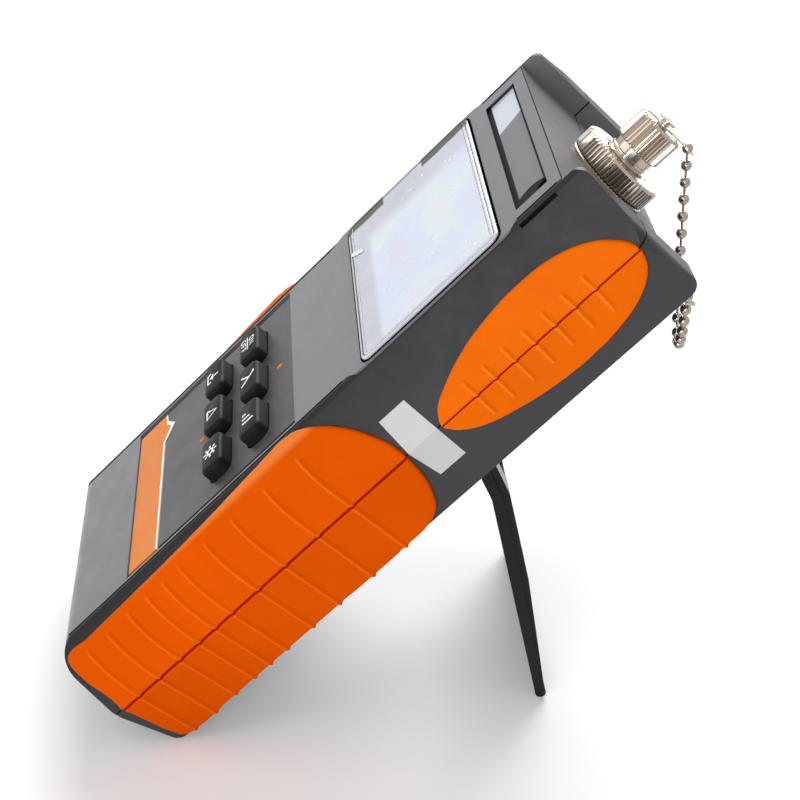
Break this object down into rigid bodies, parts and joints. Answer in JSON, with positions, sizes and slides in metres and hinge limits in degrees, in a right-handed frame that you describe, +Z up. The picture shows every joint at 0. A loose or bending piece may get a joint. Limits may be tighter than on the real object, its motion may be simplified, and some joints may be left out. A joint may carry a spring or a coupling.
{
  "type": "handheld optical power meter",
  "caption": "Handheld optical power meter leaning on its open kickstand, with keys, display window, capped fibre port and orange grips.",
  "frame": {"origin": "on the floor under the middle of the whole meter's box, standing on its open kickstand", "axes": "+Z up, +X to the meter's right as seen from its face, +Y away from the face side"},
  "size_m": [0.099, 0.1688, 0.1628],
  "materials": {
    "front_shell": "fine matt texture, dark grey",
    "rear_shell": "fine matt texture, dark grey",
    "panel_grey": "satin light grey",
    "overlay_grey": "printed film",
    "band_orange": "printed film",
    "grip_orange": "soft overmould",
    "key_rubber": "moulded silicone",
    "mat_rubber": "silicone",
    "window_clear": "clear acrylic",
    "lcd": "pale display",
    "white_plastic": "moulded",
    "card": "printed card",
    "label_white": "paper label",
    "board_green": "circuit board",
    "black_plastic": "moulded",
    "cell_jacket": "printed jacket",
    "nickel": "polished nickel plate",
    "screw_steel": "zinc plate",
    "stand_black": "smooth black",
    "aluminium": "turned"
  },
  "bodies": {
    "housing": {"adapter_barrel": "nickel", "band_strip": "band_orange", "battery_cell_1": "cell_jacket", "battery_cell_2": "cell_jacket", "battery_cell_3": "cell_jacket", "battery_contact_left": "nickel", "battery_contact_right": "nickel", "battery_tray": "black_plastic", "case_screw_1": "screw_steel", "case_screw_2": "screw_steel", "case_screw_3": "screw_steel", "case_screw_4": "screw_steel", "chain_anchor": "nickel", "connector_rim": "nickel", "detector_module": "aluminium", "face_panel": "panel_grey", "front_shell": "front_shell", "keypad_mat": "mat_rubber", "keypad_overlay": "overlay_grey", "lcd_backlight": "white_plastic", "lcd_glass": "lcd", "main_board": "board_green", "oval_grip_front_left": "grip_orange", "oval_grip_front_right": "grip_orange", "oval_grip_rear_left": "grip_orange", "oval_grip_rear_right": "grip_orange", "rear_shell": "rear_shell", "screen_window": "window_clear", "seal_label": "label_white", "side_grip_front_left": "grip_orange", "side_grip_front_right": "grip_orange", "side_grip_rear_left": "grip_orange", "side_grip_rear_right": "grip_orange", "stand_pin_left": "screw_steel", "stand_pin_right": "screw_steel"},
    "stand": {"kickstand": "stand_black"},
    "cap_carrier": {"swivel_tab": "nickel", "ball_chain": "nickel"},
    "cap": {"cap_stud": "nickel", "dust_cap": "nickel"},
    "ring": {"adapter_ring": "nickel"},
    "card": {"name_card": "card"},
    "cover": {"battery_cover": "rear_shell"},
    "key_backlight_body": {"key_backlight": "key_rubber"},
    "key_load_body": {"key_load": "key_rubber"},
    "key_power_body": {"key_power": "key_rubber"},
    "key_reference_body": {"key_reference": "key_rubber"},
    "key_unit_body": {"key_unit": "key_rubber"},
    "key_wavelength_body": {"key_wavelength": "key_rubber"}
  },
  "joints": [
    {"name": "stand_fold", "type": "hinge", "parent": "housing", "child": "stand", "pos_m": [0, 0.02297, 0.08837], "axis": [1, 0, 0], "range_deg": [-56.5, 0]},
    {"name": "cap_lift", "type": "slide", "parent": "housing", "child": "cap_carrier", "axis": [0, 0.7024, 0.7118], "range_m": [0, 0.006], "deforming": ["ball_chain"]},
    {"name": "cap_turn", "type": "hinge", "parent": "cap_carrier", "child": "cap", "pos_m": [0, 0.06951, 0.1509], "axis": [0, 0.7024, 0.7118], "range_deg": [0, 2880]},
    {"name": "ring_turn", "type": "hinge", "parent": "housing", "child": "ring", "pos_m": [0, 0.06249, 0.14378], "axis": [0, 0.7024, 0.7118], "continuous": true},
    {"name": "card_slide", "type": "slide", "parent": "housing", "child": "card", "axis": [1, 0, 0], "range_m": [0, 0.07]},
    {"name": "cover_lift", "type": "slide", "parent": "housing", "child": "cover", "axis": [0, 0.7118, -0.7024], "range_m": [0, 0.012]},
    {"name": "key_backlight_press", "type": "slide", "parent": "housing", "child": "key_backlight_body", "axis": [0, 0.7118, -0.7024], "range_m": [0, 0.0008], "stiffness_N_per_m": 1200, "springref_m": -0.0003},
    {"name": "key_load_press", "type": "slide", "parent": "housing", "child": "key_load_body", "axis": [0, 0.7118, -0.7024], "range_m": [0, 0.0008], "stiffness_N_per_m": 1200, "springref_m": -0.0003},
    {"name": "key_power_press", "type": "slide", "parent": "housing", "child": "key_power_body", "axis": [0, 0.7118, -0.7024], "range_m": [0, 0.0008], "stiffness_N_per_m": 1200, "springref_m": -0.0003},
    {"name": "key_reference_press", "type": "slide", "parent": "housing", "child": "key_reference_body", "axis": [0, 0.7118, -0.7024], "range_m": [0, 0.0008], "stiffness_N_per_m": 1200, "springref_m": -0.0003},
    {"name": "key_unit_press", "type": "slide", "parent": "housing", "child": "key_unit_body", "axis": [0, 0.7118, -0.7024], "range_m": [0, 0.0008], "stiffness_N_per_m": 1200, "springref_m": -0.0003},
    {"name": "key_wavelength_press", "type": "slide", "parent": "housing", "child": "key_wavelength_body", "axis": [0, 0.7118, -0.7024], "range_m": [0, 0.0008], "stiffness_N_per_m": 1200, "springref_m": -0.0003}
  ],
  "couplings": [
    {"joint": "cap_turn", "follows": "cap_lift", "rad_per_m": 8377.6}
  ]
}
